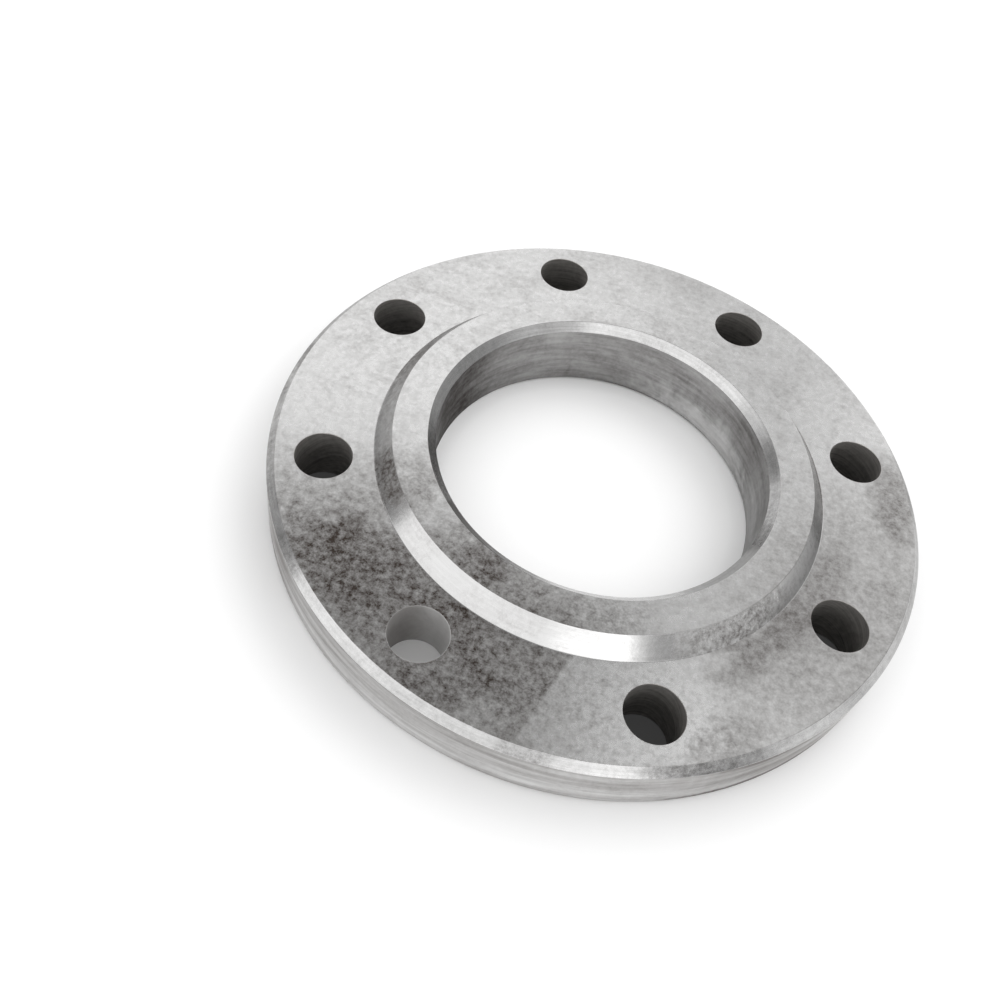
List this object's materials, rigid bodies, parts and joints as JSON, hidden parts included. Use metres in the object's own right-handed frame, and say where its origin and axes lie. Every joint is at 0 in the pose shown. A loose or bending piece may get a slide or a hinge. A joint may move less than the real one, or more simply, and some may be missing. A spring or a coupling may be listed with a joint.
{
  "type": "pipe flange",
  "caption": "Flat steel ring flange with a low coned boss, a chamfered bore for a pipe, and plain holes for bolts around it.",
  "frame": {"origin": "centre of the back face, on the bore axis, where the flange rests", "axes": "+Z along the bore axis towards the boss face; the X and Y axes run midway between bolt holes"},
  "size_m": [0.215, 0.215, 0.0264],
  "materials": {
    "machined_steel": "turned and drilled bare steel, satin, with a fine mottled grain"
  },
  "bodies": {
    "root": {"flange": "machined_steel"}
  },
  "joints": []
}
